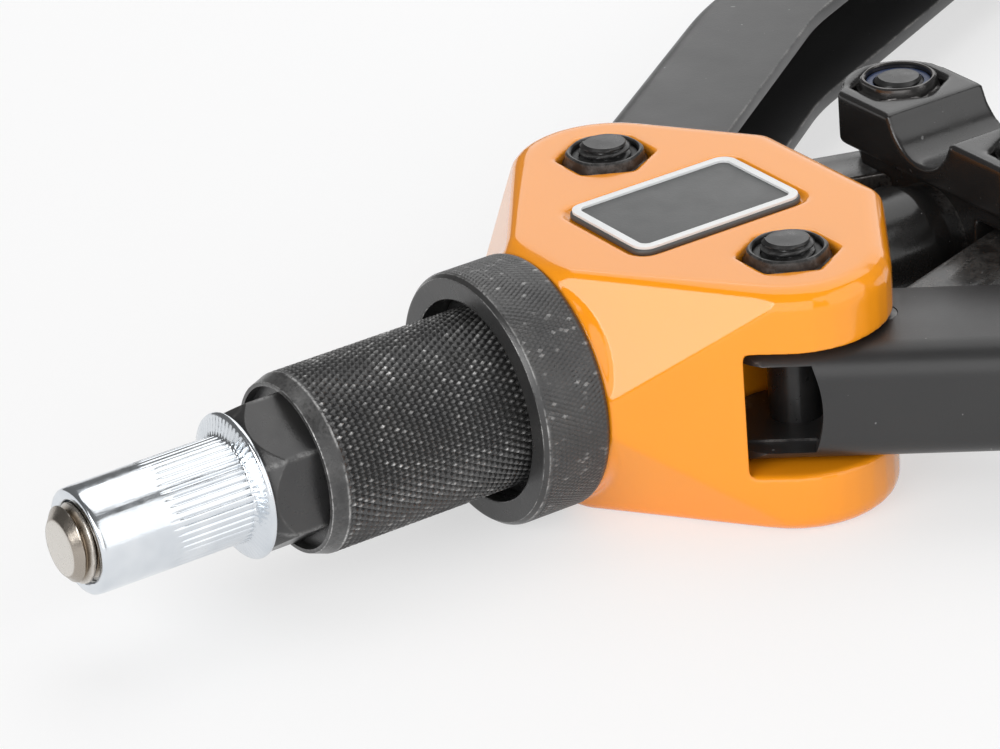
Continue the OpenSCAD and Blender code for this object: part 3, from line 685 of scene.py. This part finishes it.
def to_tool(points, side):
    """From the lever's own frame, Y along it from the pivot, to the tool's."""
    p = np.asarray(points, float)
    c, s = math.cos(LEVER_ANGLE), math.sin(LEVER_ANGLE)
    x = PIVOT_X + p[:, 0] * c + p[:, 1] * s
    y = -p[:, 0] * s + p[:, 1] * c
    return np.stack([side * x, y, AXIS_H + p[:, 2]], -1)


def sheet_section():
    """The bent sheet in section: its outer face from the upper lip to the lower one, and back inside."""
    lip = 0.45
    half = LEVER_H / 2

    def face(inset):
        r, x, z = CORNER_R - inset, WEB_X - CORNER_R, half - CORNER_R
        up = [(x + r * math.cos(a), z + r * math.sin(a)) for a in np.radians(np.arange(90, -1, -9))]
        down = [(x, -z) for x, z in reversed(up)]
        return up + down

    def round_lip(sign):
        z0, z1 = half, half - SHEET
        pts = [(-INNER_X + lip, z0), (-INNER_X + 0.13, z0 - 0.13), (-INNER_X, z0 - lip), (-INNER_X, z1 + lip),
               (-INNER_X + 0.13, z1 + 0.13), (-INNER_X + lip, z1)]
        return [(x, sign * z) for x, z in pts]

    return face(0.0) + round_lip(-1) + face(SHEET)[::-1] + round_lip(1)[::-1]


def prism(outline, low, high, axis=2):
    """Points and faces of a closed cutter from an outline, along Z or along X."""
    n = len(outline)
    points = []
    for level in (low, high):
        for u, v in outline:
            points.append((u, v, level) if axis == 2 else (level, u, v))
    faces = [tuple(range(n)), tuple(range(n, 2 * n))]
    faces += [(k, (k + 1) % n, n + (k + 1) % n, n + k) for k in range(n)]
    return points, faces


def circle(x, y, r, count):
    return [(x + r * math.cos(k * TAU / count), y + r * math.sin(k * TAU / count)) for k in range(count)]


def loft_faces(count, n):
    """Faces of a closed body through a count of sections with n points each."""
    faces = [(k * n + i, k * n + (i + 1) % n, (k + 1) * n + (i + 1) % n, (k + 1) * n + i)
             for k in range(count - 1) for i in range(n)]
    return faces + [tuple(range(n)), tuple(range((count - 1) * n, count * n))]


def lever(side, hand):
    """The pressed channel, swept through its bend, with its heel, bite and holes cut."""
    section = sheet_section()
    stations = fill(-20.0, 44.0, 2.0) + [44.0, 60.0] + list(np.linspace(SHANK, SHANK + BEND_ARC, 9))
    stations += [SHANK + BEND_ARC + 110.0, SHANK + BEND_ARC + TAIL]
    points = []
    for s in stations:
        x, y, a = lever_station(s)
        points += [(x + u * math.cos(a), y + u * math.sin(a), v) for u, v in section]
    faces = loft_faces(len(stations), len(section))
    made = from_points(f"{hand}_lever_channel", to_tool(points, side), faces)
    heel = [(MID_X + HEEL_R * math.cos(a), HEEL_R * math.sin(a)) for a in np.linspace(-math.pi, 0, 49)]
    bite_turn = math.asin(BITE_HALF / BITE_R)
    bite = [(-BEYOND, -BITE_HALF), (-BEYOND, BITE_HALF)]
    bite += [(BITE_R * math.cos(a) + BITE_X, BITE_R * math.sin(a))
             for a in np.linspace(bite_turn, -bite_turn, 25)]
    behind = [(BEYOND, 0), (BEYOND, -60), (-BEYOND, -60)]
    cutters = [prism([(-BEYOND, 0)] + heel + behind, -THROUGH, THROUGH),
               prism(bite, WEB_X - CORNER_R, WEB_X + 20, 0),
               prism(circle(0, 0, PIVOT_HOLE_R, 48), -THROUGH, THROUGH),
               prism(circle(0, PIN_Y, PIN_R, 48), -THROUGH, THROUGH)]
    for k, (cut_points, cut_faces) in enumerate(cutters):
        cut_away(made, from_points(f"cutter_{k}", to_tool(cut_points, side), cut_faces))
    bevelled(made, 0.3, 2, 55.0)
    wear_edges(made, 25.0, 50.0)
    dress(made, BLACK, f"{hand}_lever", [f"{hand}_lever"], 34)


def grip(side, hand):
    """The rubber grip: sections grown or shrunk along the lever's tail, with grooves round it."""
    half_w, half_h, corner, count = 13.8, 12.8, 8.0, 18

    def section(grow):
        w, h, r = half_w - corner, half_h - corner, corner + grow
        pts = []
        for cx, cz, a0 in ((w, h, 0), (-w, h, 90), (-w, -h, 180), (w, -h, 270)):
            pts += [(cx + r * math.cos(math.radians(a0 + 90 * k / (count - 1))),
                     cz + r * math.sin(math.radians(a0 + 90 * k / (count - 1)))) for k in range(count)]
        return pts

    rows = [(0.0, -2.6), (0.0, 0.6), (0.25, 1.5), (0.9, 2.2), (1.8, 2.5), (5.2, 2.5), (6.1, 2.2), (6.8, 1.4),
            (7.3, 0.5), (8.2, 0.1)]
    groove = [(-0.7, 0.0), (-0.1, -0.2), (0.5, -0.75), (1.2, -0.9), (1.9, -0.75), (2.5, -0.2), (3.1, 0.0)]
    for start in np.arange(15.0, GRIP_L - 18, 9.0):
        rows += [(start + along, grow) for along, grow in groove]
    end = [(-11.0, 0.0), (-9.3, 0.35), (-8.0, 0.9), (-6.5, 1.2), (-4.5, 1.2), (-2.6, 0.8), (-1.2, -0.2),
           (-0.4, -1.6), (0.0, -3.6)]
    rows += [(GRIP_L + along, grow) for along, grow in end]
    points = []
    for along, grow in rows:
        x, y, a = lever_station(SHANK + BEND_ARC + GRIP_START + along)
        points += [(x + (u + MID_X) * math.cos(a), y + (u + MID_X) * math.sin(a), v)
                   for u, v in section(grow)]
    made = from_points(f"{hand}_grip_rubber", to_tool(points, side), loft_faces(len(rows), 4 * count))
    dress(made, RUBBER, f"{hand}_lever", [f"{hand}_grip"], 50)


for side, hand in ((1, "right"), (-1, "left")):
    lever(side, hand)
    grip(side, hand)


# Floor, light and camera
FLOOR_HALF, FLOOR_WHITE = 12, 0.6
floor_mesh = bpy.data.meshes.new("floor")
floor_mesh.from_pydata([(x, y, 0) for x, y in square(FLOOR_HALF)], [], [(0, 1, 2, 3)])
floor = new_object("floor", floor_mesh)
pale = bpy.data.materials.new("pale_floor")
pale.use_nodes = True
pale_shader = pale.node_tree.nodes["Principled BSDF"]
pale_shader.inputs["Base Color"].default_value = (0.93, 0.93, 0.935, 1)
pale_shader.inputs["Roughness"].default_value = 0.6
pale_shader.inputs["Specular IOR Level"].default_value = 0.25
tree = pale.node_tree
seen = add(tree, "ShaderNodeLightPath").outputs
direct = add(tree, "ShaderNodeMath", {0: seen["Is Camera Ray"], 1: seen["Is Glossy Ray"]}).outputs[0]
direct = add(tree, "ShaderNodeMath", {0: direct, 1: seen["Is Transmission Ray"]}, use_clamp=True).outputs[0]
white = add(tree, "ShaderNodeEmission", {"Color": (1, 1, 1, 1), "Strength": 1.0}).outputs[0]
share = times(tree, direct, FLOOR_WHITE)
lifted = add(tree, "ShaderNodeMixShader", {0: share, 1: pale_shader.outputs[0], 2: white}).outputs[0]
tree.links.new(lifted, tree.nodes["Material Output"].inputs["Surface"])
floor.data.materials.append(pale)


def lamp(name, aim, direction, distance, width, height, watts):
    """A softbox that shines at a point from a direction."""
    data = bpy.data.lights.new(name, "AREA")
    data.shape, data.size, data.size_y, data.energy = "RECTANGLE", width, height, watts
    made = new_object(name, data)
    away = Vector(direction).normalized()
    made.location = Vector(aim) + away * distance
    made.rotation_mode = "QUATERNION"
    made.rotation_quaternion = away.to_track_quat("Z", "Y")
    made.visible_camera = False


CENTRE = (0.0, -0.01, 0.02)
lamp("nose_softbox", CENTRE, (0.249, -0.858, 0.45), 3.3, 2.0, 2.0, 52)
lamp("front_softbox", CENTRE, (0.8, -0.55, 0.3), 3.2, 3.0, 3.0, 45)
lamp("overhead_softbox", CENTRE, (-0.25, 0.36, 0.9), 3.0, 3.0, 3.0, 42)
lamp("near_softbox", CENTRE, (0.782, 0.463, 0.416), 2.0, 2.1, 2.1, 18)
lamp("far_softbox", (0, 0.27, 0.04), (-0.77, 0.463, 0.438), 0.62, 0.7, 0.46, 1.2)

world = bpy.data.worlds.new("studio")
bpy.context.scene.world = world
world.use_nodes = True
background = world.node_tree.nodes["Background"]
background.inputs["Color"].default_value = (1, 1, 1, 1)
background.inputs["Strength"].default_value = 0.16

CAMERA_PLACE, CAMERA_ANGLES, CAMERA_LENS = (0.5486, -0.3647, 0.3341), (59.08, 26.0, -4.84), 174.02
camera_data = bpy.data.cameras.new("photo_camera")
camera_data.sensor_width = 36.0
camera_data.lens = CAMERA_LENS
camera_data.clip_end = 50.0
camera = new_object("photo_camera", camera_data)
azimuth, elevation, roll = (math.radians(v) for v in CAMERA_ANGLES)
level = math.cos(elevation)
back = Vector((math.sin(azimuth) * level, -math.cos(azimuth) * level, math.sin(elevation)))
right = Vector((math.cos(azimuth), math.sin(azimuth), 0))
up = back.cross(right)
right, up = right * math.cos(roll) + up * math.sin(roll), up * math.cos(roll) - right * math.sin(roll)
place = Vector(CAMERA_PLACE)
camera.matrix_world = Matrix(((right.x, up.x, back.x, place.x), (right.y, up.y, back.y, place.y),
                              (right.z, up.z, back.z, place.z), (0, 0, 0, 1)))
bpy.context.scene.camera = camera
bpy.context.scene.view_settings.view_transform = "Standard"
